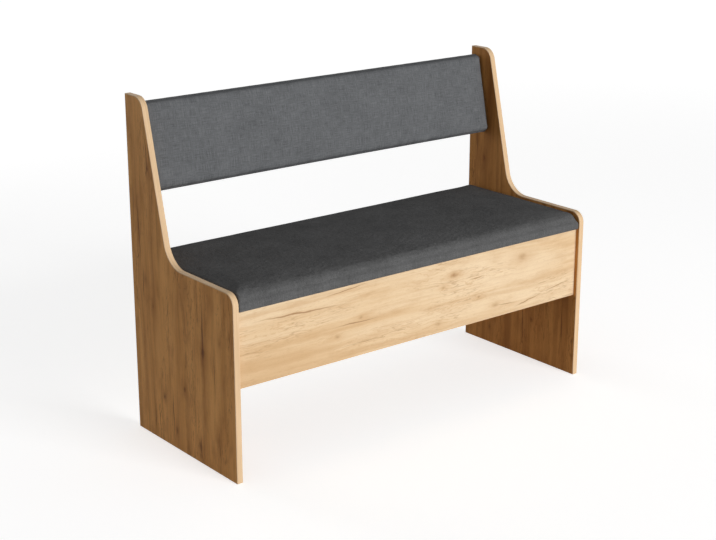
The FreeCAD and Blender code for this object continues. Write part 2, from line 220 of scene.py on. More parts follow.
def oak(name, along, across, tones, figure, knots, cracks, shift):
    """Laminate with the grain along one axis.

    tones are its light, middle and dark wood and its darkest lines, figure how strongly the grain
    shows. Knots are (along, across, radius, darkness), cracks (along, across, half length, half
    width, turn in degrees). shift moves the grain, so that boards differ."""
    finish = Finish(name, 0.5, Specular_IOR_Level=0.08)
    light, middle, dark, line = tones
    raw = grain_place(finish, along, across)
    wander = grain_noise(finish, raw, (3.0, 8.0), 1.0)
    jitter_along = grain_noise(finish, raw, (45.0, 70.0), 3.0)
    jitter_across = grain_noise(finish, raw, (24.0, 55.0), 3.0)
    jitter = finish.join(finish.swing(jitter_along, ragged_along),
                         finish.swing(jitter_across, ragged_across))
    ragged = finish.vector("ADD", raw, jitter)
    sway = finish.swing(wander, sway_reach)
    sway = finish.math("MULTIPLY_ADD", jitter_across, sway_ripple, sway)
    place = finish.vector("ADD", raw, finish.join(0.0, sway))
    push, hearts, shades, lines = marks(finish, place, ragged, knots, cracks, figure)

    u, v, _ = finish.split(place)
    flow = finish.join(u, finish.math("ADD", v, push))
    flow = finish.vector("ADD", flow, (*shift, 0.0))
    broad = grain_noise(finish, flow, (1.3, 15.0), 3.0)
    strips = grain_noise(finish, flow, (1.6, 44.0), 2.0)
    clouds = grain_noise(finish, flow, (9.0, 30.0), 4.0, 0.6)
    streaks = grain_noise(finish, flow, (6.0, 130.0), 4.0, 0.7)
    fibres = grain_noise(finish, flow, (30.0, 620.0), 3.0)
    pores = grain_noise(finish, flow, (75.0, 1300.0), 1.0)
    busy = finish.spread(grain_noise(finish, flow, (3.0, 12.0), 2.0), 0.44, 0.62)
    rings = finish.math("MULTIPLY_ADD", finish.split(flow)[1], rings_per_metre,
                        finish.math("MULTIPLY", clouds, 5.5))
    rings = finish.math("MULTIPLY_ADD", broad, 9.0, rings)
    rings = finish.math("PINGPONG", rings, 0.5)
    rings = finish.math("MULTIPLY", finish.spread(rings, 0.16, 0.0), busy)
    vein = grain_noise(finish, flow, (2.8, 30.0), 4.0, 0.62)
    vein = finish.math("ABSOLUTE", finish.math("SUBTRACT", vein, 0.5))
    vein = finish.math("MULTIPLY", finish.spread(vein, 0.014, 0.0), busy)
    hearts = finish.math("MULTIPLY", hearts, finish.spread(clouds, 0.3, 0.55, 0.45, 1.0))

    wood = finish.mix(finish.spread(broad, 0.32, 0.62), middle, light)
    for share, tint in (
            (finish.spread(broad, 0.44, 0.30, 0.0, 0.55 * figure), dark),
            (finish.spread(strips, 0.44, 0.74, 0.0, 0.65 * figure), dark),
            (finish.spread(clouds, 0.45, 0.75, 0.0, 0.6 * figure), dark),
            (finish.spread(streaks, 0.46, 0.76, 0.0, 0.42 * figure), dark),
            (finish.spread(fibres, 0.5, 0.75, 0.0, 0.22), dark),
            (finish.spread(pores, 0.62, 0.72, 0.0, 0.25), line),
            (finish.math("MULTIPLY", rings, 0.6 * figure), dark),
            (finish.math("MULTIPLY", vein, 0.6 * figure), line),
            (finish.spread(shades, 0.0, 0.8, 0.0, 0.6), dark),
            (finish.spread(lines, 0.05, 0.8, 0.0, 0.75), line),
            (finish.spread(hearts, 0.05, 0.9, 0.0, 0.8), line)):
        wood = finish.mix(share, wood, tint)
    grooves = finish.math("MAXIMUM", finish.spread(pores, 0.58, 0.72),
                          finish.spread(lines, 0.2, 0.8))
    finish.relief(finish.math("SUBTRACT", 1.0, grooves), 0.00012, 0.6)
    return finish.paint(wood, finish.spread(streaks, 0.3, 0.7, 0.46, 0.58))


# One oak décor in two copies: the sides' darker, more saturated tones are painted shade for faces
# turned from the key lamp, and the front's paler, less saturated tones are painted light; the rear
# panel takes the front's
side_shaded_tones = (
    (0.90, 0.460, 0.156), (0.72, 0.345, 0.106), (0.40, 0.160, 0.044), (0.16, 0.058, 0.018),
)
front_lit_tones = (
    (0.84, 0.65, 0.43), (0.76, 0.54, 0.315), (0.58, 0.35, 0.17), (0.33, 0.165, 0.065),
)

# Places on the left side panel, as (height, depth)
side_knots = (
    (0.428, -0.022, 0.018, 0.45), (0.291, -0.089, 0.008, 0.95), (0.171, -0.002, 0.005, 0.8),
    (0.123, 0.093, 0.006, 0.75), (0.048, 0.040, 0.007, 0.7), (0.043, -0.067, 0.009, 0.7),
    (0.413, 0.163, 0.013, 0.4), (0.348, 0.130, 0.007, 0.5), (0.338, -0.162, 0.010, 0.45),
    (0.698, 0.131, 0.006, 0.7), (0.080, -0.147, 0.015, 0.35),
)
side_cracks = (
    (0.328, -0.089, 0.110, 0.0050, 0.0), (0.258, -0.137, 0.100, 0.0016, 0.4),
    (0.248, -0.012, 0.032, 0.0018, -1.0), (0.085, 0.053, 0.095, 0.0026, 0.3),
    (0.050, 0.138, 0.060, 0.0018, -0.6), (0.540, 0.185, 0.110, 0.0030, 3.0),
    (0.400, 0.173, 0.060, 0.0026, -2.0), (0.720, 0.135, 0.090, 0.0022, 1.5),
    (0.040, -0.070, 0.050, 0.0024, 0.0), (0.600, 0.205, 0.080, 0.0018, -1.5),
)
# The right panel has its own marks, and its tones are the side tones darkened, more in green and
# blue: painted shade, for its inner face in the shade of the seat and backrest
right_shade_share = (0.78, 0.70, 0.60)
right_shaded_tones = tuple(tuple(part * share for part, share in zip(tone, right_shade_share))
                    for tone in side_shaded_tones)
right_knots = (
    (0.118, -0.052, 0.006, 0.6), (0.312, 0.094, 0.008, 0.7), (0.552, 0.158, 0.006, 0.5),
    (0.714, 0.178, 0.007, 0.6), (0.232, -0.148, 0.010, 0.4), (0.048, 0.118, 0.006, 0.6),
)
right_cracks = (
    (0.102, -0.018, 0.090, 0.0022, 0.5), (0.304, 0.122, 0.080, 0.0026, -1.0),
    (0.358, -0.108, 0.060, 0.0018, 0.6), (0.622, 0.192, 0.100, 0.0020, 1.2),
    (0.168, 0.068, 0.050, 0.0030, 0.0), (0.130, -0.172, 0.070, 0.0024, 0.8),
)
# Places on the front panel, as (length, height)
front_knots = (
    (0.113, 0.3795, 0.007, 0.75), (0.078, 0.3535, 0.005, 0.6), (0.201, 0.3015, 0.005, 0.6),
    (0.356, 0.3795, 0.013, 0.65), (-0.267, 0.2965, 0.006, 0.5), (-0.194, 0.3315, 0.005, 0.5),
    (0.061, 0.2565, 0.009, 0.45), (0.261, 0.2665, 0.008, 0.45),
)
front_cracks = (
    (-0.380, 0.383, 0.165, 0.0034, -2.6), (-0.242, 0.411, 0.085, 0.0017, 5.2),
    (-0.205, 0.3215, 0.092, 0.0019, -0.4), (-0.180, 0.2665, 0.062, 0.0014, 0.0),
    (0.190, 0.3555, 0.030, 0.0020, 1.0), (0.380, 0.255, 0.062, 0.0020, 10.0),
    (0.495, 0.275, 0.060, 0.0018, 8.0), (0.300, 0.262, 0.050, 0.0015, -4.0),
)
rear_knots = ((-0.31, 0.30, 0.009, 0.6), (0.06, 0.36, 0.007, 0.6), (0.40, 0.28, 0.006, 0.5))
rear_cracks = ((-0.10, 0.33, 0.120, 0.0020, 2.0), (0.30, 0.39, 0.090, 0.0016, -2.0))


def edge_band(name, along):
    """Plastic edge band: the laminate's tone, with fine lines along the band."""
    finish = Finish(name, 0.45, Specular_IOR_Level=0.06)
    stretch = {"contour": (700.0, 5.0, 5.0), "X": (6.0, 700.0, 700.0)}[along]
    stretched = finish.vector("MULTIPLY", finish.place, stretch)
    lines = finish.noise(stretched, detail=3.0, roughness=0.6)
    clouds = finish.noise(finish.place, 9.0, detail=3.0)
    tint = finish.mix(finish.spread(lines, 0.35, 0.68, 0.0, 0.7),
                      (0.82, 0.59, 0.37), (0.64, 0.42, 0.225))
    tint = finish.mix(finish.spread(clouds, 0.35, 0.7, 0.0, 0.5), tint, (0.72, 0.50, 0.29))
    finish.relief(lines, 0.00005, 0.5)
    return finish.paint(tint, finish.spread(lines, 0.3, 0.7, 0.34, 0.46))


# Upholstery fabrics

def woven(name, thread, tones, speckle, speckle_size, slub, nap, pebble):
    """Cloth between two tones, its crossing threads a given distance apart.

    speckle is how unevenly it is dyed, in spots of speckle_size, slub how uneven its threads are,
    nap the height of its relief and pebble how much of that is broad."""
    finish = Finish(name, 0.8, Specular_IOR_Level=0.0)
    dark, light = tones
    x, y, z = finish.split(finish.place)
    across = finish.math("ADD", y, z)
    turns = 2 * pi / thread
    warp = finish.math("SINE", finish.math("MULTIPLY", x, turns))
    weft = finish.math("SINE", finish.math("MULTIPLY", across, turns))
    weave = finish.math("MULTIPLY_ADD", finish.math("MULTIPLY", warp, weft), 0.5, 0.5)
    flat = finish.join(x, across)
    lying = finish.noise(finish.vector("MULTIPLY", flat, (30.0, 620.0, 1.0)), detail=2.0)
    standing = finish.noise(finish.vector("MULTIPLY", flat, (620.0, 30.0, 1.0)), detail=2.0)
    threads = finish.math("ADD", lying, standing)
    specks = finish.noise(finish.place, 1.0 / speckle_size, detail=4.0, roughness=0.65)
    clouds = finish.noise(finish.place, 14.0, detail=2.0)
    shade = 0.5
    for part, average, share in (
            (threads, 1.0, slub), (specks, 0.5, speckle), (clouds, 0.5, 0.35), (weave, 0.5, 0.35)):
        shade = finish.math("MULTIPLY_ADD", finish.math("SUBTRACT", part, average), share, shade)
    tint = finish.mix(finish.spread(shade, 0.0, 1.0), dark, light)
    pebbles = finish.noise(finish.place, 90.0, detail=2.0)
    height = finish.math("MULTIPLY_ADD", threads, 0.25, specks)
    height = finish.math("MULTIPLY_ADD", weave, 0.3, height)
    finish.relief(finish.math("MULTIPLY_ADD", pebbles, pebble, height), nap, 1.0)
    return finish.paint(tint)


def lining(name):
    """Bonded cloth under the seat and behind the backrest, with its fine dimples."""
    finish = Finish(name, 0.9, Specular_IOR_Level=0.2)
    dots = finish.cells(finish.place, 420.0)
    felt = finish.noise(finish.place, 260.0, detail=4.0, roughness=0.7)
    tint = finish.mix(finish.spread(felt, 0.35, 0.7), (0.012, 0.012, 0.013), (0.035, 0.035, 0.037))
    finish.relief(finish.math("MULTIPLY_ADD", felt, 0.5, dots), 0.0004, 0.6)
    return finish.paint(tint)


# Boards, metal and rubber

def chips(name):
    """Chipboard: pale flakes pressed together."""
    finish = Finish(name, 0.8)
    flakes = finish.split(finish.cells(finish.place, 330.0, "Color"))[0]
    tint = finish.mix(flakes, (0.42, 0.28, 0.15), (0.68, 0.52, 0.33))
    finish.relief(flakes, 0.0003, 0.6)
    return finish.paint(tint)


def pressed_fibre(name):
    """Hardboard: brown, finely mottled."""
    finish = Finish(name, 0.62, Specular_IOR_Level=0.4)
    fibres = finish.noise(finish.place, 230.0, detail=5.0, roughness=0.7)
    clouds = finish.noise(finish.place, 11.0, detail=2.0)
    tint = finish.mix(finish.spread(fibres, 0.3, 0.72), (0.20, 0.105, 0.048), (0.36, 0.215, 0.11))
    tint = finish.mix(finish.spread(clouds, 0.35, 0.7, 0.0, 0.3), tint, (0.24, 0.135, 0.065))
    finish.relief(fibres, 0.0002, 0.6)
    return finish.paint(tint, finish.spread(fibres, 0.3, 0.7, 0.5, 0.68))


def pine(name):
    """Softwood with its growth lines along Y."""
    finish = Finish(name, 0.7)
    line_pitch = 0.0042
    bend = finish.noise(finish.vector("MULTIPLY", finish.place, (20.0, 3.0, 20.0)), detail=2.0)
    x, _, z = finish.split(finish.place)
    across = finish.math("MULTIPLY_ADD", bend, 0.03, finish.math("ADD", x, z))
    lines = finish.math("SINE", finish.math("MULTIPLY", across, 2 * pi / line_pitch))
    fibres = finish.noise(finish.vector("MULTIPLY", finish.place, (900.0, 30.0, 900.0)), detail=2.0)
    tint = finish.mix(finish.spread(lines, 0.0, 1.0), (0.72, 0.52, 0.30), (0.52, 0.31, 0.14))
    tint = finish.mix(finish.spread(fibres, 0.45, 0.75, 0.0, 0.4), tint, (0.45, 0.27, 0.13))
    finish.relief(fibres, 0.0002, 0.5)
    return finish.paint(tint)


def metal(name, bright, dull, roughness, brushed):
    """Plated steel or die-cast zinc, cloudy, with marks of one fineness along each axis."""
    finish = Finish(name, roughness, Metallic=1.0)
    clouds = finish.noise(finish.place, 160.0, detail=4.0, roughness=0.65)
    marks = finish.noise(finish.vector("MULTIPLY", finish.place, brushed), detail=2.0)
    tint = finish.mix(finish.spread(clouds, 0.3, 0.7), dull, bright)
    finish.relief(marks, 0.00004, 0.4)
    return finish.paint(tint, finish.spread(clouds, 0.3, 0.7, roughness + 0.1, roughness - 0.06))


def rubber(name):
    """Soft grey rubber."""
    finish = Finish(name, 0.72, Specular_IOR_Level=0.35)
    grain = finish.noise(finish.place, 900.0, detail=3.0)
    tint = finish.mix(grain, (0.02, 0.02, 0.021), (0.055, 0.055, 0.058))
    finish.relief(grain, 0.0001, 0.5)
    return finish.paint(tint)


# The side finishes hold painted shade in their tones, the right one more of it, and the front and
# rear finishes hold painted light
oak_side = oak("oak_side", "Z", "Y", side_shaded_tones, 0.85, side_knots, side_cracks, (0.0, 0.0))
oak_right_shaded = oak("oak_side_right", "Z", "Y", right_shaded_tones, 0.85, right_knots, right_cracks,
                (5.3, 1.9))
oak_front = oak("oak_front", "X", "Z", front_lit_tones, 0.65, front_knots, front_cracks, (3.1, 0.7))
oak_rear = oak("oak_rear", "X", "Z", front_lit_tones, 0.6, rear_knots, rear_cracks, (7.4, 2.3))
band_contour = edge_band("edge_band_contour", "contour")
band_straight = edge_band("edge_band_straight", "X")
seat_cloth = woven("seat_cloth", 0.0016, ((0.066, 0.066, 0.066), (0.170, 0.170, 0.171)),
                   speckle=0.7, speckle_size=0.0026, slub=0.5, nap=0.0004, pebble=8.0)
back_cloth = woven("backrest_cloth", 0.0013, ((0.088, 0.091, 0.095), (0.180, 0.185, 0.192)),
                   speckle=0.4, speckle_size=0.0050, slub=1.0, nap=0.0002, pebble=3.0)
lining_cloth = lining("bonded_lining")
zinc = metal("zinc_die_cast", (0.62, 0.62, 0.63), (0.42, 0.42, 0.43), 0.42,
             (300.0, 300.0, 300.0))
plated = metal("plated_steel", (0.68, 0.675, 0.66), (0.58, 0.575, 0.56), 0.30,
               (40.0, 900.0, 900.0))
buffer_rubber = rubber("buffer_rubber_soft")

node_finishes = {
    "side_panel_left": oak_side,
    "side_panel_right": oak_right_shaded,
    "front_panel": oak_front,
    "rear_panel": oak_rear,
    "side_front_band_left": band_contour,
    "side_front_band_right": band_contour,
    "side_back_band_left": band_contour,
    "side_back_band_right": band_contour,
    "front_panel_top_band": band_straight,
    "front_panel_bottom_band": band_straight,
    "rear_panel_top_band": band_straight,
    "rear_panel_bottom_band": band_straight,
    "box_bottom": pressed_fibre("hardboard_sheet"),
    "bottom_support_rail": pine("pine"),
    "seat_board": chips("chipboard_core"),
    "cam_bolts": plated,
    "hinge_pins": plated,
    "hinge_fixed_leaves": plated,
    "hinge_moving_leaves": plated,
}
node_finishes["wooden_dowels"] = node_finishes["bottom_support_rail"]
node_finishes["backrest_board"] = node_finishes["seat_board"]
for name, finish in node_finishes.items():
    for material_slot in nodes[name].material_slots:
        material_slot.material = finish


# Pieces: helpers

def new_piece(name, vertices, faces, material, body, replaced=()):
    """A mesh piece that rides on a body, takes its finish from a slot and stands for CAD nodes."""
    mesh = bpy.data.meshes.new(name)
    mesh.from_pydata([tuple(v) for v in vertices], [], [tuple(f) for f in faces])
    mesh.update()
    mesh.materials.append(material)
    mesh.shade_smooth()
    piece = bpy.data.objects.new(name, mesh)
    bpy.context.scene.collection.objects.link(piece)
    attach(piece, body)
    for node in replaced:
        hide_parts(node)
    return piece


# Cushions: the sizes of their solids, filled by a cloth simulation

hem_radius = 0.0025
seat_pad = {
    "length": 1.114, "span": 0.440, "thickness": 0.047, "crown": 0.0035,
    "first_radius": 0.027, "second_radius": 0.013, "end_radius": 0.008,
    "bulge": 0.0008, "draw_in": 0.0012, "turned": 0.0485,
}
backrest_pad = {
    "length": 1.114, "span": 0.222, "thickness": 0.040, "crown": 0.003,
    "first_radius": 0.013, "second_radius": 0.013, "end_radius": 0.005,
    "bulge": 0.0004, "draw_in": 0.001, "turned": 0.022,
}
seat_front = -0.222
seat_bottom = 0.424
backrest_foot = Vector((0.0, 0.17384, 0.6267))
backrest_tilt = radians(12)
# The pad's underside inside the turned-under cloth, and its board's top, above its base
recess = 0.0012
board_top = 0.0175
# Cells of the skin: over the pad, up its edges, along it and over its ends
columns = 48
rows = 10
stations = 110
end_steps = 4
straight_steps = 12
# The crown's height at the pad's ends, as a share of that in the middle
end_crown = 0.3
# The cloth simulation, and how much slimmer it starts along X, Y and Z, in caps
fill_pressure = 4.0
fill_stretch = -0.004
fill_frames = 20
slimming = (0.7, 1.2, 0.8)
cap_softness = 0.35
held_below = 0.006
blend_height = 0.010
base_level = 0.0005
turn_margin = 0.002
# Gathers along the hem, and the skin's slight unevenness
hem_pitch = 0.048
hem_gather = 0.00045
hem_height = 0.016
hem_width = 0.006
drift_height = 0.0007
drift_fineness = 9.0


def arc(centre, radius, start, end, steps=8):
    """Points (y, z) on an arc from one angle to another, in degrees."""
    angles = [radians(start + (end - start) * i / steps) for i in range(steps + 1)]
    return [(centre[0] + radius * cos(a), centre[1] + radius * sin(a)) for a in angles]


def evenly(points, count):
    """count + 1 points spread evenly along a line of points."""
    points = np.array(points)
    steps = np.linalg.norm(np.diff(points, axis=0), axis=1)
    along = np.concatenate([[0.0], np.cumsum(steps)])
    wanted = np.linspace(0.0, along[-1], count + 1)
    return np.stack([np.interp(wanted, along, points[:, k]) for k in (0, 1)], axis=1)


def section(pad, x, dip):
    """The pad's outline at x, its top lowered by dip, as four chains (y, z): up the first edge,
    over the top, down, and under."""
    half = pad["length"] / 2
    fullness = 1 - (x / half) ** 2
    reach = max(hem_radius - half + abs(x), 0)
    curl = hem_radius - max(hem_radius ** 2 - reach ** 2, 0) ** 0.5
    first = curl + pad["draw_in"] * fullness
    second = pad["span"] - curl
    top = pad["thickness"] - dip
    first_radius, second_radius = pad["first_radius"], pad["second_radius"]
    rise = pad["crown"] * (end_crown + (1 - end_crown) * fullness)
    first_hem = (first + hem_radius, curl + hem_radius)
    second_hem = (second - hem_radius, curl + hem_radius)
    first_roll = (first + first_radius, top - first_radius)
    second_roll = (second - second_radius, top - second_radius)
    shares = [i / straight_steps for i in range(straight_steps + 1)]
    up = [(first - pad["bulge"] * 4 * t * (1 - t),
           first_hem[1] + (first_roll[1] - first_hem[1]) * t) for t in shares]
    up += arc(first_roll, first_radius, 180, 135)
    over = arc(first_roll, first_radius, 135, 90)
    over += [(first_roll[0] + (second_roll[0] - first_roll[0]) * t, top + rise * 4 * t * (1 - t))
             for t in shares]
    over += arc(second_roll, second_radius, 90, 45)
    down = arc(second_roll, second_radius, 45, 0) + [(second, second_hem[1])]
    base = [(second_hem[0], curl), (first_hem[0], curl)]
    up = arc(first_hem, hem_radius, 225, 180, 2) + list(evenly(up, rows - 2))[1:]
    down = list(evenly(down, rows - 2)) + arc(second_hem, hem_radius, 0, -45, 2)[1:]
    under = (arc(second_hem, hem_radius, -45, -90, 2) + list(evenly(base, columns - 4))[1:]
             + arc(first_hem, hem_radius, 270, 225, 2)[1:])
    return up, evenly(over, columns), down, under


def pad_surface(pad):
    """Vertices and faces of the pad's closed skin, lying with its board down."""
    half = pad["length"] / 2
    roll = pad["end_radius"]
    places = [(half - roll * (1 - cos(a)), roll * (1 - sin(a)))
              for a in (pi / 2 * i / end_steps for i in range(end_steps))]
    inner = half - roll
    places += [(inner - 2 * inner * i / stations, 0.0) for i in range(stations + 1)]
    places += [(-x, dip) for x, dip in places[:end_steps]][::-1]
    vertices = []
    for x, dip in places:
        for chain in section(pad, x, dip):
            vertices += [(x, y, z) for y, z in chain[:-1]]
    count = 2 * (columns + rows)
    faces = []
    for k in range(len(places) - 1):
        for i in range(count):
            j = (i + 1) % count
            faces.append((k * count + i, k * count + j, (k + 1) * count + j, (k + 1) * count + i))
    for start, flip in ((0, True), ((len(places) - 1) * count, False)):
        cap_vertices, cap_faces = end_cap(vertices, start, count, flip)
        vertices += cap_vertices
        faces += cap_faces
    return vertices, faces


def end_cap(vertices, start, count, flip):
    """A grid that closes the loop of count vertices from start."""
    def rim(i, j):
        """The loop's vertex on the grid's rim at column i and row j."""
        if i == 0:
            return start + j
        if j == rows:
            return start + rows + i
        if i == columns:
            return start + rows + columns + rows - j
        return start + (2 * rows + columns + columns - i) % count

    def point(i, j):
        return Vector(vertices[rim(i, j)])

    made = []
    index = {}
    for i in range(columns + 1):
        for j in range(rows + 1):
            if i in (0, columns) or j in (0, rows):
                index[i, j] = rim(i, j)
                continue
            s, t = i / columns, j / rows
            place = ((1 - t) * point(i, 0) + t * point(i, rows)
                     + (1 - s) * point(0, j) + s * point(columns, j))
            place -= (1 - s) * (1 - t) * point(0, 0) + s * (1 - t) * point(columns, 0)
            place -= (1 - s) * t * point(0, rows) + s * t * point(columns, rows)
            index[i, j] = len(vertices) + len(made)
            made.append(tuple(place))
    faces = []
    for i in range(columns):
        for j in range(rows):
            face = (index[i, j], index[i + 1, j], index[i + 1, j + 1], index[i, j + 1])
            faces.append(face[::-1] if flip else face)
    return made, faces


def filled(points, faces, held, cap):
    """The skin as a cloth simulation fills it: held vertices stay, and none moves past cap."""
    mesh = bpy.data.meshes.new("trial")
    mesh.from_pydata(points.tolist(), [], faces)
    trial = bpy.data.objects.new("trial", mesh)
    scene = bpy.context.scene
    scene.collection.objects.link(trial)
    trial.vertex_groups.new(name="held").add(held.tolist(), 1.0, "REPLACE")
    cloth = trial.modifiers.new("fill", "CLOTH")
    cloth.settings.vertex_group_mass = "held"
    cloth.settings.use_pressure = True
    cloth.settings.uniform_pressure_force = fill_pressure
    cloth.settings.effector_weights.gravity = 0.0
    cloth.settings.shrink_min = fill_stretch
    cloth.point_cache.frame_end = fill_frames
    for step in range(1, fill_frames + 1):
        scene.frame_set(step)
    result = trial.evaluated_get(bpy.context.evaluated_depsgraph_get()).data
    moved = np.array([v.co for v in result.vertices]) - points
    scene.frame_set(1)
    bpy.data.objects.remove(trial)
    bpy.data.meshes.remove(mesh)
    size = np.linalg.norm(moved, axis=1, keepdims=True)
    return points + moved * cap / np.maximum(size + cap * cap_softness, cap)


def cushion(name, pad, place, material, body, replaced, cap):
    """A filled cushion, its cloth gathered along the hem and turned under its board."""
    vertices, faces = pad_surface(pad)
    points = np.array(vertices)
    half, span = pad["length"] / 2, pad["span"]
    top = points[:, 2].max()
    low = points[:, 2] < base_level
    edge = np.minimum(half - np.abs(points[:, 0]), np.minimum(points[:, 1], span - points[:, 1]))
    points[:, 2] += np.where(low & (edge > pad["turned"] - turn_margin), recess, 0.0)

    slim = points * (1 - slimming[0] * cap / half, 1, 1 - slimming[2] * cap / top)
    slim[:, 1] = span / 2 + (points[:, 1] - span / 2) * (1 - slimming[1] * cap / span)
    shaped = filled(slim, faces, np.flatnonzero(points[:, 2] < held_below), cap)
    share = np.clip((points[:, 2] - board_top) / blend_height, 0, 1)[:, None]
    points = points * (1 - share) + shaped * share

    sides = np.clip(1 - points[:, 2] / hem_height, 0, 1) * np.clip(1 - edge / hem_width, 0, 1)
    lengthwise = edge < half - np.abs(points[:, 0]) + 1e-6
    run = np.where(lengthwise, points[:, 0], points[:, 1])
    gather = hem_gather * sides * (0.5 + 0.5 * np.cos(2 * pi * run / hem_pitch))
    points[:, 1] += np.where(lengthwise, gather * np.sign(span / 2 - points[:, 1]), 0.0)
    points[:, 0] -= np.where(lengthwise, 0.0, gather * np.sign(points[:, 0]))
    drift = np.array([noise.noise(Vector(p) * drift_fineness) for p in points.tolist()])
    points[:, 2] += drift_height * drift * np.clip(points[:, 2] / top, 0, 1) ** 2
    points[:, 0] = np.clip(points[:, 0], -half, half)

    placed = [place @ Vector(v) for v in points.tolist()]
    skin = new_piece(name, placed, faces, material, body, replaced)
    rounding = skin.modifiers.new("rounding", "SUBSURF")
    rounding.levels = rounding.render_levels = 1


seat_place = Matrix.Translation((0.0, seat_front, seat_bottom))
backrest_place = (Matrix.Translation(backrest_foot)
                  @ Matrix.Rotation(pi / 2 - backrest_tilt, 4, "X"))
cushion("seat_cushion", seat_pad, seat_place, seat_cloth, "seat_lid",
        ["seat_cover", "seat_foam"], 0.004)
cushion("backrest_cushion", backrest_pad, backrest_place, back_cloth, "frame",
        ["backrest_cover", "backrest_foam"], 0.003)


# Linings, stapled over the turned-under cloth

staple_pitch = 0.05
staple_inset = 0.005
staple_crown = 0.011
staple_depth = 0.002
staple_wire = 0.00045
staple_flatness = 0.6
staple_shoulder = 0.93
wire_sides = 6
cloth_thickness = 0.0004
# Steps of the cloth's grid, and how near a hole it is fine
coarse_step = 0.006
fine_step = 0.002
fine_reach = 0.016
# Slack between staples, the folded edge, and how far the edge draws in between staples
lining_gap = 0.0001
least_slack = 0.0003
wave_height = 0.0010
wave_reach = 0.05
staple_reach = 0.01
fold_height = 0.0003
fold_width = 0.009
scallop_depth = 0.0012
scallop_reach = 0.008
# Cams: their distance from the middle, and their rows behind the backrest, which its lining
# is cut round
inner_half = 0.559
cam_offset = inner_half - 0.034
cam_radius = 0.0075
lining_hole_radius = 0.0085
backrest_cam_rows = (0.045, 0.177)


def clamp(value, low, high):
    return min(max(value, low), high)


def lining_edges(pad, margin):
    """Half the lining's length, and its near and far edges."""
    return pad["length"] / 2 - margin, margin, pad["span"] - margin


def staple_places(pad, margin):
    """(x, y, runs along X) for staples round the lining."""
    places = []
    half, near, far = lining_edges(pad, margin)
    count = round(2 * half / staple_pitch)
    for i in range(count):
        x = -half + (i + 0.5) * 2 * half / count
        places += [(x, near + staple_inset, True), (x, far - staple_inset, True)]
    count = round((far - near) / staple_pitch)
    for i in range(count):
        y = near + (i + 0.5) * (far - near) / count
        places += [(-half + staple_inset, y, False), (half - staple_inset, y, False)]
    return places


def lining_drop(pad, margin, staples, x, y):
    """How far the lining stands off the cushion's underside at (x, y)."""
    half, near, far = lining_edges(pad, margin)
    edge = min(half - abs(x), y - near, far - y)
    nearest = min(abs(x - sx) ** 2 + abs(y - sy) ** 2 for sx, sy, _ in staples)
    slack = 1 - exp(-nearest / staple_reach ** 2)
    fold = fold_height * clamp((fold_width - edge) / 0.001, 0, 1)
    wave = wave_height * (0.5 + 0.5 * noise.noise(Vector((x * 9, y * 14, 2.0))))
    return lining_gap + fold + slack * (least_slack + wave * clamp(edge / wave_reach, 0.15, 1))


def grid_line(start, end, centres):
    """Marks from start to end, closer together near the centres of holes."""
    line = [start]
    while line[-1] < end - 1e-6:
        close = any(abs(line[-1] - centre) < fine_reach for centre in centres)
        line.append(min(line[-1] + (fine_step if close else coarse_step), end))
    return line


def lining_grid(half, near, far, holes):
    """The cloth's flat points and its faces, fitted to the rims of holes (x, y, radius)."""
    xs = grid_line(-half, half, [x for x, _, _ in holes])
    ys = grid_line(near, far, [y for _, y, _ in holes])
    flat = [Vector((x, y)) for x in xs for y in ys]
    faces, cut = [], set()
    for i in range(len(xs) - 1):
        for j in range(len(ys) - 1):
            corner = i * len(ys) + j
            face = (corner, corner + 1, corner + len(ys) + 1, corner + len(ys))
            middle = (flat[face[0]] + flat[face[2]]) / 2
            if any((middle - Vector((x, y))).length < radius for x, y, radius in holes):
                cut.update(face)
            else:
                faces.append(face)
    for k in cut & {k for face in faces for k in face}:
        centre, radius = min(((Vector((x, y)), radius) for x, y, radius in holes),
                             key=lambda hole: (flat[k] - hole[0]).length)
        flat[k] = centre + (flat[k] - centre).normalized() * radius
    return flat, faces


def lining_piece(name, pad, margin, holes, place, body, node):
    """The lining's cloth with any holes (x, y, radius), and the staples that hold it."""
    half, near, far = lining_edges(pad, margin)
    staples = staple_places(pad, margin)
    flat, faces = lining_grid(half, near, far, holes)
    vertices = []
    for x, y in flat:
        edge_x, edge_y = half - abs(x), min(y - near, far - y)
        run = x if edge_y < edge_x else y
        scallop = scallop_depth * sin(pi * (run / staple_pitch)) ** 2
        inward_x = scallop * max(1 - edge_x / scallop_reach, 0) * (-1 if x > 0 else 1)
        inward_y = (scallop * max(1 - edge_y / scallop_reach, 0)
                    * (1 if y < (near + far) / 2 else -1))
        drop = lining_drop(pad, margin, staples, x, y)
        vertices.append(place @ Vector((x + inward_x, y + inward_y, -drop)))
    cloth = new_piece(name, vertices, faces, lining_cloth, body, [node])
    thickness = cloth.modifiers.new("thickness", "SOLIDIFY")
    thickness.thickness = cloth_thickness
    thickness.offset = 1.0
    name.split("_")[0] + "_cushion"

    vertices, faces = [], []
    for x, y, lengthwise in staples:
        level = lining_drop(pad, margin, staples, x, y) + cloth_thickness
        start = len(vertices)
        for step in staple_points(level):
            local = (step[0], step[1]) if lengthwise else (step[1], step[0])
            vertices.append(place @ Vector((x + local[0], y + local[1], -step[2])))
        for ring in range(start, len(vertices) - wire_sides, wire_sides):
            for turn in range(wire_sides):
                a, b = ring + turn, ring + (turn + 1) % wire_sides
                faces.append((a, b, b + wire_sides, a + wire_sides))
    new_piece(name + "_staples", vertices, faces, plated, body)


def staple_points(level):
    """Rings of points (along, across, out) round a staple's flattened wire, on cloth at level."""
    reach = staple_crown / 2
    half_wire = staple_wire * staple_flatness
    half_path = [(reach * staple_shoulder, level + half_wire), (reach, level - staple_wire),
                 (reach, -staple_depth)]
    points = []
    for run, rise in [(-run, rise) for run, rise in half_path[::-1]] + half_path:
        for turn in range(wire_sides):
            side = staple_wire * cos(turn * pi / 3)
            out = half_wire * sin(turn * pi / 3)
            if abs(run) < reach and rise > 0:
                points.append((run, side, rise + out))
            else:
                points.append((run + out * (1 if run > 0 else -1), side, rise))
    return points


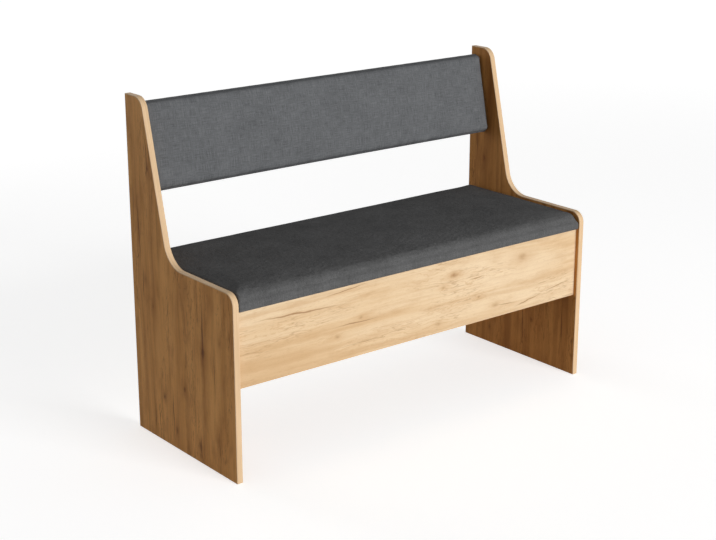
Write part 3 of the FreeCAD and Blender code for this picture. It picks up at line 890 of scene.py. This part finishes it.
lining_piece("seat_lining", seat_pad, 0.0355, [], seat_place, "seat_lid", "seat_underside_lining")
lining_piece("backrest_lining", backrest_pad, 0.010,
             [(side * cam_offset, y, lining_hole_radius)
              for side in (-1, 1) for y in backrest_cam_rows],
             backrest_place, "frame", "backrest_back_lining")


# Turned fittings: cams, screws and buffers

crease_angle = 35


def turned_pieces(name, cross, profile, places, material, body, node):
    """Turned pieces with a cross recess (length, width, depth) in their face.

    profile is (radius, height) from the face's rim outwards and down. Places are (point, axis,
    direction of the recess)."""
    recess_taper = 0.72
    reach, arm, deep = cross[0] / 2, cross[1] / 2, cross[2]
    corners = [(reach, -arm), (reach, arm), (arm, arm), (arm, reach), (-arm, reach), (-arm, arm)]
    corners += [(-x, -y) for x, y in corners]
    outline = []
    for (x0, y0), (x1, y1) in zip(corners, corners[1:] + corners[:1]):
        outline += [(x0 + (x1 - x0) * t / 3, y0 + (y1 - y0) * t / 3) for t in range(3)]
    turns = [atan2(y, x) for x, y in outline]
    face = profile[0][1]
    loops = [[(x * recess_taper, y * recess_taper, face - deep) for x, y in outline],
             [(x, y, face) for x, y in outline]]
    loops += [[(radius * cos(a), radius * sin(a), height) for a in turns]
              for radius, height in profile]
    count = len(outline)
    vertices, faces = [], []
    for point, axis, along in places:
        across = axis.cross(along)
        start = len(vertices)
        for loop in loops:
            vertices += [point + along * x + across * y + axis * z for x, y, z in loop]
        for k in range(len(loops) - 1):
            for i in range(count):
                a, b = start + k * count + i, start + k * count + (i + 1) % count
                faces.append((a, a + count, b + count, b))
        faces.append(tuple(start + i for i in range(count)))
        end = start + (len(loops) - 1) * count
        faces.append(tuple(end + count - 1 - i for i in range(count)))
    pieces = new_piece(name, vertices, faces, material, body, [node])
    pieces.data.set_sharp_from_angle(angle=radians(crease_angle))


along_x = Vector((1, 0, 0))
forward, backward = Vector((0, -1, 0)), Vector((0, 1, 0))
up, down = Vector((0, 0, 1)), Vector((0, 0, -1))
box_low, box_high = 0.233, 0.4215
hinge_marks = (-0.409, 0.0, 0.409)

cam_profile = [(0.0050, -0.0003), (0.0058, -0.0003), (0.0061, 0.0), (0.0071, 0.0),
               (0.0074, -0.0002), (cam_radius, -0.0006), (cam_radius, -0.0125)]
cam_height = 0.042
front_cam_y, rear_cam_y = -0.1955, 0.193
cam_places = []
for side in (-1, 1):
    for z in (box_low + cam_height, box_high - cam_height):
        cam_places.append((Vector((side * cam_offset, front_cam_y, z)), backward))
        cam_places.append((Vector((side * cam_offset, rear_cam_y, z)), forward))
    for y in backrest_cam_rows:
        point = backrest_place @ Vector((side * cam_offset, y, 0.0008))
        cam_places.append((point, backrest_place.to_3x3() @ down))
cam_places = [(point, axis, Matrix.Rotation(radians(12 + 23 * i), 3, axis) @ along_x)
              for i, (point, axis) in enumerate(cam_places)]
turned_pieces("cam_fittings", (0.0082, 0.0015, 0.0020), cam_profile, cam_places, zinc, "frame",
              "cam_housings")

screw_profile = [(0.0027, 0.0), (0.0033, -0.00005), (0.0035, -0.0002), (0.00175, -0.0020),
                 (0.00175, -0.0115), (0.0003, -0.0140)]
screw_step = 0.020
screw_reach = 0.017
leaf_thickness = 0.0015
rear_face, hinge_y, hinge_z = 0.209, 0.2125, 0.4205
screw_marks = [x + step for x in hinge_marks for step in (-screw_step, screw_step)]
rear_screws = (rear_face + leaf_thickness, hinge_z - screw_reach)
seat_screws = (hinge_y - screw_reach, seat_bottom - leaf_thickness)
for name, body, node, point, axis in (
        ("rear_panel_screws", "frame", "hinge_fixed_screws", rear_screws, backward),
        ("seat_screws", "seat_lid", "hinge_moving_screws", seat_screws, down)):
    places = [(Vector((x, *point)), axis, Matrix.Rotation(radians(35 + 61 * i), 3, axis) @ along_x)
              for i, x in enumerate(screw_marks)]
    turned_pieces(name, (0.0038, 0.0009, 0.0012), screw_profile, places, plated, body,
                  node)

buffer_profile = [(0.0014, 0.00175), (0.0019, 0.0021), (0.0030, 0.0022), (0.0041, 0.0020),
                  (0.0047, 0.0015), (0.0050, 0.0006), (0.0050, 0.0)]
buffer_y = -0.2035
buffer_marks = (-0.92, -0.32, 0.32, 0.92)
buffer_places = [(Vector((share * inner_half, buffer_y, box_high)), up, along_x)
                 for share in buffer_marks]
turned_pieces("seat_buffers", (0.0020, 0.0008, 0.0003), buffer_profile, buffer_places,
              buffer_rubber, "frame", "lid_buffers")


# Small eased edges on the straight CAD pieces

for name in ("hinge_fixed_leaves", "hinge_moving_leaves", "front_panel_top_band",
             "front_panel_bottom_band", "rear_panel_top_band", "rear_panel_bottom_band"):
    easing = nodes[name].modifiers.new("eased edges", "BEVEL")
    easing.width = 0.0003
    easing.segments = 2
    easing.limit_method = "ANGLE"
    easing.angle_limit = radians(50)


# Floor, lamps and world

def background_seen(tree):
    """1 for camera, glossy and transmission rays, which see a white background, else 0."""
    path = tree.nodes.new("ShaderNodeLightPath").outputs
    seen = path["Is Camera Ray"]
    for other in ("Is Glossy Ray", "Is Transmission Ray"):
        either = tree.nodes.new("ShaderNodeMath")
        either.operation = "MAXIMUM"
        tree.links.new(seen, either.inputs[0])
        tree.links.new(path[other], either.inputs[1])
        seen = either.outputs[0]
    return seen


def stage_floor():
    """A pale floor that fades into the white background and keeps the bench's shadow."""
    half_size, level = 40.0, -0.0004
    fade_start, fade_end = 2.2, 6.0
    mesh = bpy.data.meshes.new("floor")
    corners = [(-half_size, -half_size), (half_size, -half_size), (half_size, half_size),
               (-half_size, half_size)]
    mesh.from_pydata([(x, y, level) for x, y in corners], [], [(0, 1, 2, 3)])
    floor = bpy.data.objects.new("floor", mesh)
    bpy.context.scene.collection.objects.link(floor)
    finish = Finish("floor_finish", 0.9, Specular_IOR_Level=0.1,
                    Emission_Color=(1.0, 1.0, 1.0, 1.0))
    seen = background_seen(finish.tree)
    away = finish.add("ShaderNodeVectorMath", [finish.place], operation="LENGTH").outputs["Value"]
    near = finish.mix(seen, (0.55, 0.55, 0.55), (0.80, 0.80, 0.80))
    finish.paint(finish.mix(finish.spread(away, fade_start, fade_end), near, (0.0, 0.0, 0.0)))
    glow = finish.spread(away, fade_start, fade_end, 0.60, 1.0)
    finish.feed(finish.shader.inputs["Emission Strength"], finish.math("MULTIPLY", seen, glow))
    mesh.materials.append(finish.material)


def lamp(name, azimuth, elevation, distance, size, level):
    """A square softbox aimed at the bench; level is how brightly it alone lights white."""
    light = bpy.data.lights.new(name, "AREA")
    light.shape = "SQUARE"
    light.size = size
    light.energy = level * pi * pi * distance ** 2
    a, e = radians(azimuth), radians(elevation)
    away = Vector((sin(a) * cos(e), -cos(a) * cos(e), sin(e)))
    holder = bpy.data.objects.new(name, light)
    holder.location = Vector((0.0, 0.0, 0.4)) + away * distance
    holder.rotation_euler = away.to_track_quat("Z", "Y").to_euler()
    bpy.context.scene.collection.objects.link(holder)


def studio_world(level):
    """Even white light; the camera, gloss and clear materials see a white background."""
    world = bpy.data.worlds.new("studio")
    bpy.context.scene.world = world
    world.use_nodes = True
    tree = world.node_tree
    seen = background_seen(tree)
    strength = tree.nodes.new("ShaderNodeMapRange")
    tree.links.new(seen, strength.inputs[0])
    strength.inputs["To Min"].default_value = level
    strength.inputs["To Max"].default_value = 1.0
    background = next(n for n in tree.nodes if n.type == "BACKGROUND")
    background.inputs["Color"].default_value = (1.0, 1.0, 1.0, 1.0)
    tree.links.new(strength.outputs[0], background.inputs["Strength"])


stage_floor()
lamp("key_softbox", azimuth=10.0, elevation=8.0, distance=9.0, size=4.4, level=1.00)
lamp("back_softbox", azimuth=188.0, elevation=8.0, distance=9.0, size=4.4, level=0.38)
studio_world(level=0.24)
